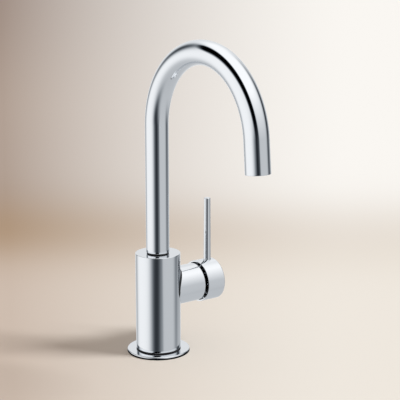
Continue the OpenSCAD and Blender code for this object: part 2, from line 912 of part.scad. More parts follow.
module stem_guide() {
    color("#e0d8c0")
        difference() {
            on_handle(guide_x)
                cylinder(h = guide_len, r = guide_r);
            on_handle(guide_seal_x - guide_seal_t / 2)
                ring(guide_r + cut, guide_r - guide_seal_t, guide_seal_t);
            stem_slot();
            translate([pivot_x, 0, handle_z])
                rotate([90, 0, 0])
                    cylinder(h = 2 * (guide_r + cut), r = pivot_pin_d / 2, center = true);
        }
}

// The slot through the guide in which the stem tilts
module stem_slot() {
    slot_w = stem_w + 2 * stem_play;
    inner_reach = ball_r + disc_travel + slot_play;
    outer_reach = stem_w / 2 + (guide_end - pivot_x) * tan(tilt_deg) + slot_play;
    translate([guide_x - cut, -slot_w / 2, handle_z - outer_reach])
        cube([guide_len + 2 * cut, slot_w, outer_reach + inner_reach]);
}

module pivot_pin() {
    color("#b0b4b8")
        translate([pivot_x, 0, handle_z])
            rotate([90, 0, 0])
                cylinder(h = 2 * (guide_r - pivot_sink), r = pivot_pin_d / 2, center = true);
}

module guide_seal_ring() {
    color("#181818")
        on_handle(guide_seal_x)
            rotate_extrude()
                translate([guide_r - guide_seal_t / 2, 0])
                    circle(r = (guide_seal_t - seat_gap) / 2);
}

module lever_stem() {
    color("#b8bcc0")
        difference() {
            union() {
                translate([ball_x, 0, handle_z])
                    sphere(r = ball_r);
                translate([ball_x, 0, handle_z])
                    rotate([0, 90, 0])
                        cylinder(h = ball_arm, r = stem_neck_r);
                translate([pivot_x, 0, handle_z])
                    rotate([90, 0, 0])
                        cylinder(h = stem_w, r = stem_w / 2, center = true);
                translate([pivot_x, -stem_w / 2, handle_z - stem_w / 2])
                    cube([socket_end - seat_gap - pivot_x, stem_w, stem_w]);
            }
            translate([pivot_x, 0, handle_z])
                rotate([90, 0, 0])
                    cylinder(h = stem_w + 2 * cut,
                             r = pivot_pin_d / 2 + running_gap, center = true);
        }
}

module knob() {
    color("silver")
        difference() {
            union() {
                difference() {
                    on_handle(knob_x)
                        rotate_extrude() {
                            polygon([
                                [0, 0], [knob_r - rim_edge, 0], [knob_r, rim_edge],
                                [knob_r, knob_len - knob_edge],
                                [knob_r - knob_edge, knob_len], [0, knob_len]
                            ]);
                            translate([knob_r - knob_edge, knob_len - knob_edge])
                                circle(r = knob_edge);
                        }
                    on_handle(knob_x - cut)
                        cylinder(h = knob_len - knob_end_t + cut, r = skirt_r);
                }
                on_handle(hub_x)
                    cylinder(h = knob_end - knob_end_t / 2 - hub_x, r = hub_r);
                translate([lever_x, 0, handle_z])
                    cylinder(h = skirt_r + knob_wall / 2, r = lever_boss_r);
            }
            translate([hub_x - cut, -socket_w / 2, handle_z - socket_w / 2])
                cube([socket_end - hub_x + cut, socket_w, socket_w]);
            translate([lever_x, 0, handle_z + knob_r - stud_in_knob])
                cylinder(h = stud_in_knob + cut, r = stud_d / 2 + seat_gap);
            translate([knob_screw_x, 0, handle_z - hub_r - cut])
                cylinder(h = hub_r + cut, r = grub_r + seat_gap);
            translate([knob_screw_x, 0, handle_z - knob_r - cut])
                cylinder(h = knob_wall + 2 * cut, r = access_r);
        }
}

module lever_rod() {
    color("silver")
        difference() {
            translate([lever_x, 0, handle_z])
                rotate_extrude()
                    polygon([
                        [0, knob_r - knob_wall], [lever_base_d / 2, knob_r - knob_wall],
                        [lever_tip_d / 2, lever_rise - lever_edge],
                        [lever_tip_d / 2 - lever_edge, lever_rise], [0, lever_rise]
                    ]);
            on_handle(knob_x)
                cylinder(h = knob_len, r = knob_r);
            translate([lever_x, 0, handle_z])
                cylinder(h = knob_r + stud_in_lever + seat_gap, r = stud_d / 2 + seat_gap);
        }
}

module lever_stud() {
    color("#b0b4b8")
        translate([lever_x, 0, handle_z + knob_r - stud_in_knob + seat_gap])
            cylinder(h = stud_in_knob + stud_in_lever - 2 * seat_gap, r = stud_d / 2);
}

module knob_screw() {
    color("#8c9094")
        translate([knob_screw_x, 0, handle_z - stem_w / 2])
            rotate([180, 0, 0])
                difference() {
                    cylinder(h = hub_r - stem_w / 2, r = grub_r);
                    drive_socket(hub_r - stem_w / 2);
                }
}

// Children's +Z along the handle's axis, from x, at the shut place of the moving disc
module on_disc(x) {
    on_handle(x)
        translate([disc_shift, 0, 0])
            children();
}

module disc_carrier() {
    color("#c8d0d8")
        difference() {
            on_disc(carrier_x)
                cylinder(h = carrier_t, r = moving_disc_d / 2);
            on_handle(carrier_x + carrier_floor)
                cylinder(h = carrier_t, r = ball_r + ball_gap);
            on_handle(ball_x + flare_set)
                cylinder(h = carrier_t, r = ball_r + ball_gap + pocket_flare);
        }
}

// A pocket in the moving disc's sealing face, from z up to just short of the shut ports
module disc_recess(width, z) {
    translate([moving_x - cut, -width / 2, z])
        cube([cut + recess_depth, width, supply_z - port_r - port_land - z]);
}

module moving_disc() {
    color("#fafaf4")
        difference() {
            on_disc(moving_x)
                cylinder(h = disc_t, r = moving_disc_d / 2);
            disc_recess(recess_low_w, mixed_z - port_r - recess_drop);
            disc_recess(recess_high_w, mixed_z + port_r);
        }
}

body_shell();
base_flange();
deck_gasket();
mounting_shank();
rubber_washer();
steel_washer();
mounting_nut();
jack_screws();
handle_sleeve();
sleeve_gasket();
dust_ring();
cartridge_nut();
cartridge_housing();
cartridge_base();
port_seals();
fixed_disc();
spout_screw();
spout_tube();
spout_adaptor();
upper_seal_ring();
lower_seal_ring();
glide_ring();
outlet_nozzle();
aerator_housing();
aerator_screen();
flow_regulator();
aerator_washer();
stem_guide();
pivot_pin();
guide_seal_ring();
lever_stem();
knob();
lever_rod();
lever_stud();
knob_screw();
disc_carrier();
moving_disc();
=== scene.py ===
import json
import math

import bmesh
import bpy
from mathutils import Matrix, Vector


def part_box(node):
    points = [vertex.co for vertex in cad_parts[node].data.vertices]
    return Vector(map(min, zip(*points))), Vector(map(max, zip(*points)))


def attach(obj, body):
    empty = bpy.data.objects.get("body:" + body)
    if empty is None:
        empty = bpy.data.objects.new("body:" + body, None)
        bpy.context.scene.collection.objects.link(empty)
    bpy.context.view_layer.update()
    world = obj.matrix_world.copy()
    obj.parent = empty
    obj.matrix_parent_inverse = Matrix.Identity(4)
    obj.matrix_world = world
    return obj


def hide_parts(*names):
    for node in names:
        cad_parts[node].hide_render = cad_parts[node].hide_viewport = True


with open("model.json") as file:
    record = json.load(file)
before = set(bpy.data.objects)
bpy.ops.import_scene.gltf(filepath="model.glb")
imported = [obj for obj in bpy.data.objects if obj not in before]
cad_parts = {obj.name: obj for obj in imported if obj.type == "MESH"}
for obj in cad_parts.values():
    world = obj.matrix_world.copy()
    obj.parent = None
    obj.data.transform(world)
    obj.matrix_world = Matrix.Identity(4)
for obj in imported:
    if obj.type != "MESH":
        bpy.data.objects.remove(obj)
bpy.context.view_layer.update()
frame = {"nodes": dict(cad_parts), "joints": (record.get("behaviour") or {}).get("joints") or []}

# --- Body barrel -------------------------------------------------------------------------
# The body is turned from a brass bar, with a threaded well in its foot for the shank, a socket
# in its flat top for the spout and a boss at its side for the cartridge. It is polished and
# chrome plated all over. A grub screw at its back keeps the spout from lifting out.
MM = 0.001
body_low, body_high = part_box("body_shell")
body_r = body_high.y
body_edge = 0.5 * MM
seal_t = 1.2 * MM
socket_r = 9.56 * MM
socket_depth = 24.6 * MM
shank_low, shank_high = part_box("mounting_shank")
shank_r = shank_high.x
well_r = shank_r + 0.1 * MM
well_top = shank_high.z + 0.1 * MM
handle_joint = next(j for j in frame["joints"] if j["name"] == "flow_tilt")
handle_z = handle_joint["pos_m"][2]
boss_r = 16.8 * MM
boss_bore_r = 14.1 * MM
boss_start = 16 * MM
back_screw_low, back_screw_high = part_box("spout_screw")
back_screw_z = (back_screw_low.z + back_screw_high.z) / 2
screw_hole_r = back_screw_high.x + 0.1 * MM
screw_hole_end = 1.2 * body_r
HOLD = 0.4 * MM
SHARP = math.radians(35)


def rounded(corners, closed, steps):
    """The points along (radius, height, fillet) corners. A fillet becomes an arc, with one point
    held close to each of its ends, so that the long walls keep straight reflections."""
    points = []
    for i, (r, z, fillet) in enumerate(corners):
        here = Vector((r, z, 0))
        if fillet == 0 or not closed and i in (0, len(corners) - 1):
            points.append(here)
            continue
        back = Vector((*corners[i - 1][:2], 0)) - here
        ahead = Vector((*corners[(i + 1) % len(corners)][:2], 0)) - here
        half = back.angle(ahead) / 2
        reach = fillet / math.tan(half)
        centre = here + (back.normalized() + ahead.normalized()).normalized() * (fillet / math.sin(half))
        start = here + back.normalized() * reach
        end = here + ahead.normalized() * reach
        if back.length > reach + 2 * HOLD:
            points.append(start + back.normalized() * HOLD)
        for step in range(steps + 1):
            spoke = (start - centre).slerp(end - centre, step / steps)
            points.append(centre + spoke.normalized() * fillet)
        if ahead.length > reach + 2 * HOLD:
            points.append(end + ahead.normalized() * HOLD)
    return points


def turned(corners, place=Matrix(), closed=True, around=144, steps=5):
    """A lathe-turned shape: its outline spun about +Z, then set in its place."""
    bm = bmesh.new()
    verts = [bm.verts.new((p.x, 0, p.y)) for p in rounded(corners, closed, steps)]
    following = verts[1:] + verts[:1] if closed else verts[1:]
    edges = [bm.edges.new(pair) for pair in zip(verts, following)]
    bmesh.ops.spin(bm, geom=verts + edges, cent=(0, 0, 0), axis=(0, 0, 1),
                   angle=math.tau, steps=around, use_merge=True)
    bmesh.ops.remove_doubles(bm, verts=bm.verts, dist=0.0002 * MM)
    bmesh.ops.recalc_face_normals(bm, faces=bm.faces)
    bm.transform(place)
    return bm


def along_handle(x):
    """Places a shape's +Z along the handle's axis, from x."""
    return Matrix.Translation((x, 0, handle_z)) @ Matrix.Rotation(math.radians(90), 4, "Y")


def joined(*shapes):
    """Several closed shapes as one mesh."""
    whole = bmesh.new()
    for shape in shapes:
        mesh = bpy.data.meshes.new("shape")
        shape.to_mesh(mesh)
        shape.free()
        whole.from_mesh(mesh)
        bpy.data.meshes.remove(mesh)
    return whole


def made(name, shape):
    """A mesh object from a finished shape, smooth between its sharp edges."""
    mesh = bpy.data.meshes.new(name)
    shape.to_mesh(mesh)
    shape.free()
    mesh.shade_smooth()
    mesh.set_sharp_from_angle(angle=SHARP)
    thing = bpy.data.objects.new(name, mesh)
    bpy.context.scene.collection.objects.link(thing)
    return thing


def fitted(thing, body, slot, material, *nodes):
    """Gives a piece its finish, hangs it on its body and hides the CAD nodes it stands for."""
    thing.data.materials.append(material)
    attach(thing, body)
    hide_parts(*nodes)
    return thing


def dressed(node, material):
    """Gives a CAD node, which keeps its shape, its finish."""
    thing = frame["nodes"][node]
    thing.data.materials.clear()
    thing.data.materials.append(material)


def drilled(shape, radius, start, end):
    """A closed shape with a round hole drilled through it, from start to end. It has to be one
    clean solid: shapes that overlap are joined only after drilling."""
    start, end = Vector(start), Vector(end)
    bit = bmesh.new()
    bmesh.ops.create_cone(bit, cap_ends=True, segments=32, radius1=radius, radius2=radius,
                          depth=(end - start).length)
    turn = (end - start).to_track_quat("Z", "Y").to_matrix().to_4x4()
    bit.transform(Matrix.Translation((start + end) / 2) @ turn)
    blank = made("blank", shape)
    cutter = made("bit", bit)
    hole = blank.modifiers.new("hole", "BOOLEAN")
    hole.operation = "DIFFERENCE"
    hole.solver = "EXACT"
    hole.object = cutter
    graph = bpy.context.evaluated_depsgraph_get()
    cut_mesh = bpy.data.meshes.new_from_object(blank.evaluated_get(graph))
    cut_shape = bmesh.new()
    cut_shape.from_mesh(cut_mesh)
    bpy.data.objects.remove(cutter)
    bpy.data.objects.remove(blank)
    bpy.data.meshes.remove(cut_mesh)
    return cut_shape


def material_of(name, base, metallic, roughness, **sockets):
    """A new principled material. The sockets are named with _ for each space."""
    material = bpy.data.materials.new(name)
    material.use_nodes = True
    shader = material.node_tree.nodes["Principled BSDF"]
    shader.inputs["Base Color"].default_value = (*base, 1)
    shader.inputs["Metallic"].default_value = metallic
    shader.inputs["Roughness"].default_value = roughness
    for socket, value in sockets.items():
        shader.inputs[socket.replace("_", " ")].default_value = value
    return material


def grain(material, scale, detail=4, stretch=(1, 1, 1)):
    """A noise pattern fixed to the piece: features are about 1 / scale metres across."""
    nodes, links = material.node_tree.nodes, material.node_tree.links
    place = nodes.new("ShaderNodeTexCoord")
    turn = nodes.new("ShaderNodeMapping")
    turn.inputs["Scale"].default_value = stretch
    noise = nodes.new("ShaderNodeTexNoise")
    noise.inputs["Scale"].default_value = scale
    noise.inputs["Detail"].default_value = detail
    links.new(place.outputs["Object"], turn.inputs["Vector"])
    links.new(turn.outputs["Vector"], noise.inputs["Vector"])
    return noise.outputs["Fac"]


def shades(material, fac, dark, light, low=0.3, high=0.7):
    """Colours the base from dark to light by a pattern."""
    nodes, links = material.node_tree.nodes, material.node_tree.links
    ramp = nodes.new("ShaderNodeValToRGB")
    ramp.color_ramp.elements[0].position = low
    ramp.color_ramp.elements[1].position = high
    ramp.color_ramp.elements[0].color = (*dark, 1)
    ramp.color_ramp.elements[1].color = (*light, 1)
    links.new(fac, ramp.inputs["Fac"])
    links.new(ramp.outputs["Color"], nodes["Principled BSDF"].inputs["Base Color"])


def haze(material, fac, smooth, rough):
    """Varies the roughness from smooth to rough by a pattern."""
    nodes, links = material.node_tree.nodes, material.node_tree.links
    spread = nodes.new("ShaderNodeMapRange")
    spread.inputs["From Min"].default_value = 0.3
    spread.inputs["From Max"].default_value = 0.7
    spread.inputs["To Min"].default_value = smooth
    spread.inputs["To Max"].default_value = rough
    links.new(fac, spread.inputs["Value"])
    links.new(spread.outputs["Result"], nodes["Principled BSDF"].inputs["Roughness"])


def relief(material, fac, height):
    """Raises the surface by a pattern, height metres from its lowest to its highest."""
    nodes, links = material.node_tree.nodes, material.node_tree.links
    bump = nodes.new("ShaderNodeBump")
    bump.inputs["Distance"].default_value = height
    links.new(fac, bump.inputs["Height"])
    links.new(bump.outputs["Normal"], nodes["Principled BSDF"].inputs["Normal"])


chrome = material_of("chrome_plate", (0.86, 0.88, 0.905), 1, 0.02)
haze(chrome, grain(chrome, 60), 0.012, 0.028)
relief(chrome, grain(chrome, 220, detail=1), 0.0008 * MM)

barrel = turned([
    (0, body_high.z - socket_depth, 0), (socket_r, body_high.z - socket_depth, 0),
    (socket_r, body_high.z, body_edge / 2), (body_r, body_high.z, body_edge),
    (body_r, body_low.z + seal_t, body_edge / 2), (well_r, body_low.z + seal_t, 0),
    (well_r, well_top, 0), (0, well_top, 0),
], closed=False)
boss = turned([
    (boss_bore_r, 0, 0), (boss_r, 0, 0),
    (boss_r, body_high.x - boss_start, body_edge), (boss_bore_r, body_high.x - boss_start, 0),
], along_handle(boss_start))
barrel = drilled(barrel, screw_hole_r, (0, 0, back_screw_z), (0, screw_hole_end, back_screw_z))
fitted(made("body_barrel", joined(barrel, boss)), "body", "chrome", chrome, "body_shell")

# --- Base flange and gasket --------------------------------------------------------------
# A thin round plate spreads the body's foot over the hole in the worktop. It is pressed from
# brass, chrome plated, with a rounded rim, and a rubber gasket lies in a recess below it.
flange_low, flange_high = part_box("base_flange")
flange_r = -flange_low.x
flange_edge = 0.9 * MM
gasket_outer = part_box("deck_gasket")[1].x + 0.1 * MM
gasket_inner = gasket_outer - 6.5 * MM
gasket_top = 1.2 * MM

rubber = material_of("black_rubber", (0.02, 0.02, 0.022), 0, 0.7, Specular_IOR_Level=0.2)
shades(rubber, grain(rubber, 900), (0.012, 0.012, 0.013), (0.03, 0.03, 0.032))
haze(rubber, grain(rubber, 250), 0.6, 0.8)
relief(rubber, grain(rubber, 2500), 0.02 * MM)

flange = made("flange_plate", turned([
    (well_r, 0, 0), (gasket_inner, 0, 0), (gasket_inner, gasket_top, 0),
    (gasket_outer, gasket_top, 0), (gasket_outer, 0, 0), (flange_r, 0, 0.2 * MM),
    (flange_r, flange_high.z, flange_edge), (well_r, flange_high.z, 0),
], around=192))
fitted(flange, "body", "chrome", chrome, "base_flange")
dressed("deck_gasket", rubber)

# The body stands on a thin black seal, which shows as a fine dark seam round its foot.
seal_r = body_r - 0.15 * MM
foot_seal = made("foot_seal", turned([
    (well_r, body_low.z, 0), (seal_r, body_low.z, 0.1 * MM),
    (seal_r, body_low.z + seal_t, 0.1 * MM), (well_r, body_low.z + seal_t, 0),
]))
fitted(foot_seal, "body", "black_rubber", rubber)

# --- Shank, washers and mounting nut -----------------------------------------------------
# A hollow brass shank is screwed into the body's foot. Below the worktop a rubber washer, a
# steel washer and a brass nut go over it, and three jack screws in the nut press the washers
# up against the worktop.
thread_end = -59.5 * MM
shank_bore_r = 13.6 * MM
lead_r = 15.2 * MM
shank_pitch = 1.5 * MM
jack_pitch = 0.8 * MM
jack_r = 2.5 * MM
jack_head_w = 7 * MM
jack_head_t = 3.5 * MM
jack_count = 3
jack_depth = 0.4 * MM
jack_core_r = jack_r - jack_depth
washer_gap = 0.5 * MM
nut_gap = 0.1 * MM
fine_edge = 0.3 * MM
root_overlap = 0.05 * MM
root_share, crest_share = 0.42, 0.07
washer_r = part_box("rubber_washer")[1].x
rubber_low, rubber_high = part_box("rubber_washer")
steel_low, steel_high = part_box("steel_washer")
nut_low, nut_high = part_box("mounting_nut")
jack_low, jack_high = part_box("jack_screws")
jack_ring_r = (shank_r + nut_high.x) / 2


def thread(radius, pitch, depth, low, high, place=Matrix(), around=36):
    """A closed helical ridge from low to high, to lie on a core of the thread's root radius."""
    bm = bmesh.new()
    root = radius - depth - root_overlap
    half = [(root, root_share), (radius - depth, root_share), (radius, crest_share)]
    flank = [(r, -share) for r, share in half] + half[::-1]
    verts = [bm.verts.new((r, 0, low + (0.5 + share) * pitch)) for r, share in flank]
    edges = [bm.edges.new(pair) for pair in zip(verts, verts[1:] + verts[:1])]
    bmesh.ops.spin(bm, geom=verts + edges, cent=(0, 0, 0), axis=(0, 0, 1),
                   dvec=(0, 0, pitch / around), angle=math.tau, steps=around)
    first_turn = bm.verts[:] + bm.edges[:] + bm.faces[:]
    for turn in range(1, int((high - low) / pitch) - 1):
        copy = bmesh.ops.duplicate(bm, geom=first_turn)["geom"]
        bmesh.ops.translate(bm, verts=[v for v in copy if isinstance(v, bmesh.types.BMVert)],
                            vec=(0, 0, turn * pitch))
    bmesh.ops.remove_doubles(bm, verts=bm.verts, dist=0.001 * MM)
    bmesh.ops.holes_fill(bm, edges=bm.edges, sides=0)
    bmesh.ops.recalc_face_normals(bm, faces=bm.faces)
    bm.transform(place)
    return bm


def hexagon(width, low, high, place=Matrix()):
    """A hexagonal bar across the flats, with its upright and end edges eased."""
    bm = bmesh.new()
    across = width / 2 / math.cos(math.radians(30))
    bmesh.ops.create_cone(bm, cap_ends=True, segments=6, radius1=across, radius2=across,
                          depth=high - low)
    bmesh.ops.bevel(bm, geom=bm.edges[:], offset=fine_edge, offset_type="OFFSET",
                    affect="EDGES", segments=2, profile=0.5, material=-1)
    bm.transform(place @ Matrix.Translation((0, 0, (low + high) / 2)))
    return bm


def ring_outline(outer, inner, low, high, edge):
    """The closed outline of a plain ring with eased rims."""
    return [(inner, low, edge), (outer, low, edge), (outer, high, edge), (inner, high, edge)]


brass = material_of("machined_brass", (0.78, 0.62, 0.33), 1, 0.28)
shades(brass, grain(brass, 120), (0.70, 0.53, 0.25), (0.84, 0.68, 0.38))
haze(brass, grain(brass, 600, stretch=(1, 1, 6)), 0.2, 0.38)
relief(brass, grain(brass, 900, stretch=(1, 1, 8)), 0.01 * MM)
steel = material_of("brushed_steel", (0.66, 0.67, 0.69), 1, 0.3)
shades(steel, grain(steel, 200), (0.58, 0.59, 0.61), (0.72, 0.73, 0.75))
haze(steel, grain(steel, 800, stretch=(1, 8, 1)), 0.22, 0.4)
relief(steel, grain(steel, 1600, stretch=(1, 8, 1)), 0.006 * MM)

thread_depth = 0.8 * MM
shank = made("threaded_shank", joined(
    turned([
        (shank_bore_r, shank_low.z, fine_edge), (lead_r, shank_low.z, fine_edge),
        (lead_r, thread_end, 0), (shank_r - thread_depth, thread_end, 0),
        (shank_r - thread_depth, shank_high.z, 0), (shank_bore_r, shank_high.z, 0),
    ]),
    thread(shank_r, shank_pitch, thread_depth, thread_end, shank_high.z, around=72),
))
fitted(shank, "body", "cast_brass", brass, "mounting_shank")

for name, low, high, finish, slot in (
    ("rubber_washer", rubber_low, rubber_high, rubber, "black_rubber"),
    ("steel_washer", steel_low, steel_high, steel, "stainless"),
):
    washer = made(name + "_ring", turned(
        ring_outline(washer_r, shank_r + washer_gap, low.z, high.z, fine_edge)))
    fitted(washer, "body", slot, finish, name)

nut = turned(ring_outline(nut_high.x, shank_r + nut_gap, nut_low.z, nut_high.z, body_edge))

screws = []
for i in range(jack_count):
    turn = Matrix.Rotation(math.radians(90 + i * 360 / jack_count), 4, "Z")
    place = turn @ Matrix.Translation((jack_ring_r, 0, 0))
    reach = (nut_low.z - 0.5 * MM, nut_high.z + 0.5 * MM)
    screws.append(turned([
        (0, jack_low.z + jack_head_t, 0), (jack_core_r, jack_low.z + jack_head_t, 0),
        (jack_core_r, jack_high.z, 0.2 * MM), (0, jack_high.z, 0),
    ], place, closed=False, around=32))
    screws.append(thread(jack_r, jack_pitch, jack_depth, jack_low.z + jack_head_t,
                         jack_high.z - 1 * MM, place, around=24))
    screws.append(hexagon(jack_head_w, jack_low.z, jack_low.z + jack_head_t, place))
    nut = drilled(nut, jack_r + 0.1 * MM, place @ Vector((0, 0, reach[0])),
                  place @ Vector((0, 0, reach[1])))
fitted(made("mounting_nut_ring", nut), "body", "cast_brass", brass, "mounting_nut")
fitted(made("jack_screw_set", joined(*screws)), "body", "stainless", steel, "jack_screws")

# --- Cartridge ---------------------------------------------------------------------------
# A ceramic cartridge sits in the boss, held by a brass nut: a plastic housing, two lapped
# ceramic discs and the carrier and guide that slide and turn one of them over the other.
plastic = material_of("white_plastic", (0.82, 0.81, 0.77), 0, 0.42)
shades(plastic, grain(plastic, 150), (0.78, 0.77, 0.73), (0.85, 0.84, 0.8))
haze(plastic, grain(plastic, 900), 0.35, 0.5)
relief(plastic, grain(plastic, 3000), 0.01 * MM)
grey = material_of("grey_plastic", (0.55, 0.57, 0.59), 0, 0.45)
shades(grey, grain(grey, 150), (0.5, 0.52, 0.54), (0.6, 0.62, 0.64))
haze(grey, grain(grey, 900), 0.38, 0.52)
relief(grey, grain(grey, 3000), 0.01 * MM)
ceramic = material_of("lapped_ceramic", (0.93, 0.93, 0.9), 0, 0.18, Coat_Weight=0.2)
shades(ceramic, grain(ceramic, 400), (0.9, 0.9, 0.87), (0.95, 0.95, 0.93))
haze(ceramic, grain(ceramic, 700), 0.14, 0.24)

for node, finish, slot in (
    ("cartridge_nut", brass, "cast_brass"), ("cartridge_housing", plastic, "white_plastic"),
    ("cartridge_base", plastic, "white_plastic"), ("port_seals", rubber, "black_rubber"),
    ("fixed_disc", ceramic, "ceramic"), ("moving_disc", ceramic, "ceramic"),
    ("disc_carrier", grey, "grey_plastic"), ("stem_guide", plastic, "white_plastic"),
    ("guide_seal_ring", rubber, "black_rubber"), ("pivot_pin", steel, "stainless"),
    ("lever_stem", steel, "stainless"), ("spout_screw", steel, "stainless"),
):
    dressed(node, finish)

# --- Sleeve and dust ring ----------------------------------------------------------------
# A thin chrome sleeve covers the boss. Its inner end is cut to the body's round, and in its
# upper half a black gasket shows as a seam between the two. A black plastic ring in its outer
# end closes the shadow gap behind the knob.
sleeve_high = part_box("handle_sleeve")[1]
sleeve_r = sleeve_high.y
sleeve_bore_r = boss_r + 0.1 * MM
sleeve_edge = 0.3 * MM
sleeve_gap = 0.03 * MM
seam_start, seam_full = handle_z - 8 * MM, handle_z - 1 * MM
seam_width = 1.8 * MM
gasket_set = 0.25 * MM
end_mark = MM


def on_barrel(point):
    """Where the body's round lies, at a point's own height and depth."""
    return math.sqrt(body_r ** 2 - point.y ** 2)


def seam_at(z):
    """How wide the black seam between body and sleeve is, at a height."""
    share = min(max((z - seam_start) / (seam_full - seam_start), 0), 1)
    return seam_width * share ** 2 * (3 - 2 * share)


sleeve_shape = turned([
    (sleeve_bore_r, 0, 0), (sleeve_r, 0, 0), (sleeve_r, sleeve_high.x, sleeve_edge),
    (sleeve_bore_r, sleeve_high.x, sleeve_edge),
], along_handle(0), around=192)
for vert in sleeve_shape.verts:
    if vert.co.x < end_mark:
        vert.co.x = on_barrel(vert.co) + sleeve_gap + seam_at(vert.co.z)
fitted(made("sleeve_tube", sleeve_shape), "body", "chrome", chrome, "handle_sleeve")

black = material_of("black_acetal", (0.012, 0.012, 0.013), 0, 0.5, Specular_IOR_Level=0.3)
shades(black, grain(black, 500), (0.008, 0.008, 0.009), (0.018, 0.018, 0.019))
haze(black, grain(black, 1500), 0.45, 0.6)
dressed("dust_ring", black)

wedge = turned([
    (sleeve_bore_r, 0, 0), (sleeve_r - gasket_set, 0, 0), (sleeve_r - gasket_set, end_mark, 0),
    (sleeve_bore_r, end_mark, 0),
], along_handle(0), around=192)
for vert in wedge.verts:
    outer = vert.co.x > end_mark / 2
    vert.co.x = on_barrel(vert.co) + sleeve_gap / 3
    if outer:
        vert.co.x += seam_at(vert.co.z) + sleeve_gap / 3
fitted(made("wedge_gasket", wedge), "body", "black_rubber", rubber, "sleeve_gasket")

# --- Spout -------------------------------------------------------------------------------
# The spout is one chrome tube, bent over a round former, with a turned nozzle brazed into its
# end and polished flush. An adaptor brazed into its foot turns in the body's socket on two
# seal rings and a black glide ring, which shows as the seam at the riser's foot.
tube_low, tube_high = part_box("spout_tube")
tube_r = tube_high.x
tube_wall = 1.2 * MM
bend_r = 72.4 * MM
bend_angle = math.radians(175.2)
nozzle_len = 29.1 * MM
tube_edge = 0.3 * MM
mouth_recess = 1 * MM
thread_step = 0.9 * MM
ledge_depth = 12.9 * MM
ledge_r = 7.4 * MM
ledge_t = 1.5 * MM
ledge_taper = 0.5 * MM
rim_steps = 4
rim_turn = math.radians(90) / rim_steps
riser_top = tube_high.z - bend_r - tube_r
bend_centre = Vector((0, -bend_r, riser_top))
bend_steps = 160


def ring_edges(bm, found):
    """The edges among a step's new geometry."""
    return [e for e in found if isinstance(e, bmesh.types.BMEdge)]


def drawn_on(bm, ring, shift, ratio=1):
    """Extends an open ring of edges: a straight shift, and a change of its radius."""
    grown = bmesh.ops.extrude_edge_only(bm, edges=ring)["geom"]
    verts = [v for v in grown if isinstance(v, bmesh.types.BMVert)]
    bmesh.ops.translate(bm, verts=verts, vec=shift)
    middle = sum((v.co for v in verts), Vector()) / len(verts)
    bmesh.ops.scale(bm, verts=verts, vec=(ratio,) * 3, space=Matrix.Translation(-middle))
    ends = set(verts)
    return [e for e in ring_edges(bm, grown) if set(e.verts) <= ends]


tube = bmesh.new()
bmesh.ops.create_circle(tube, segments=128, radius=tube_r - tube_wall, cap_ends=False)
bmesh.ops.translate(tube, verts=tube.verts, vec=(0, 0, tube_low.z))
foot = tube.edges[:]
foot_rim = drawn_on(tube, foot, (0, 0, 0), (tube_r - tube_edge) / (tube_r - tube_wall))
end = foot_rim
radius = tube_r - tube_edge
for step in range(1, rim_steps + 1):
    swing = rim_turn * step
    wider = tube_r - tube_edge * (1 - math.sin(swing))
    climb = tube_edge * (math.cos(swing - rim_turn) - math.cos(swing))
    end = drawn_on(tube, end, (0, 0, climb), wider / radius)
    radius = wider
end = drawn_on(tube, end, (0, 0, HOLD))
end = drawn_on(tube, end, (0, 0, riser_top - tube_low.z - tube_edge - HOLD))
bend = bmesh.ops.spin(tube, geom=list({v for e in end for v in e.verts}) + end,
                      cent=bend_centre, axis=(1, 0, 0), angle=bend_angle, steps=bend_steps)
end = ring_edges(tube, bend["geom_last"])
flow = Matrix.Rotation(bend_angle, 3, "X") @ Vector((0, 0, 1))
end = drawn_on(tube, end, flow * (nozzle_len - tube_edge - HOLD))
end = drawn_on(tube, end, flow * HOLD)
for step in range(1, rim_steps + 1):
    swing = rim_turn * step
    narrower = tube_r - tube_edge * (1 - math.cos(swing))
    ahead = tube_edge * (math.sin(swing) - math.sin(swing - rim_turn))
    end = drawn_on(tube, end, flow * ahead, narrower / radius)
    radius = narrower
bore_r = tube_r - tube_wall
for wall, depth in ((bore_r, 0), (bore_r, mouth_recess), (bore_r - thread_step, 0),
                    (bore_r - thread_step, ledge_depth - mouth_recess), (ledge_r, 0),
                    (ledge_r, ledge_t), (bore_r, ledge_taper)):
    end = drawn_on(tube, end, -flow * depth, wall / radius)
    radius = wall
bmesh.ops.recalc_face_normals(tube, faces=tube.faces)
fitted(made("gooseneck_tube", tube), "spout", "chrome", chrome, "spout_tube", "outlet_nozzle")

blue = material_of("blue_plastic", (0.35, 0.55, 0.68), 0, 0.4)
shades(blue, grain(blue, 150), (0.3, 0.5, 0.63), (0.4, 0.6, 0.72))
haze(blue, grain(blue, 900), 0.34, 0.48)
for node, finish, slot in (
    ("spout_adaptor", brass, "cast_brass"), ("upper_seal_ring", rubber, "black_rubber"),
    ("lower_seal_ring", rubber, "black_rubber"), ("glide_ring", black, "black_plastic"),
    ("aerator_housing", grey, "grey_plastic"), ("aerator_screen", steel, "stainless"),
    ("flow_regulator", blue, "blue_plastic"), ("aerator_washer", rubber, "black_rubber"),
):
    dressed(node, finish)

# --- Knob --------------------------------------------------------------------------------
# The knob is a chrome cap over the cartridge's stem: a thin skirt, a closed outer end and a
# square-socketed hub, clamped to the stem by a grub screw that is reached through a small
# hole underneath.
knob_low, knob_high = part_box("knob")
knob_r = knob_high.y
knob_edge = 0.8 * MM
skirt_r = knob_r - 1.5 * MM
knob_end_t = 3 * MM
hub_r = 7.3 * MM
hub_set = 3.4 * MM
grub_low, grub_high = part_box("knob_screw")
grub_x = (grub_low.x + grub_high.x) / 2
access_r = 2.4 * MM
knob_len = knob_high.x - knob_low.x
grub_at = grub_x - knob_low.x
access_start = handle_z - hub_r - 2 * MM
access_end = handle_z - 1.2 * knob_r

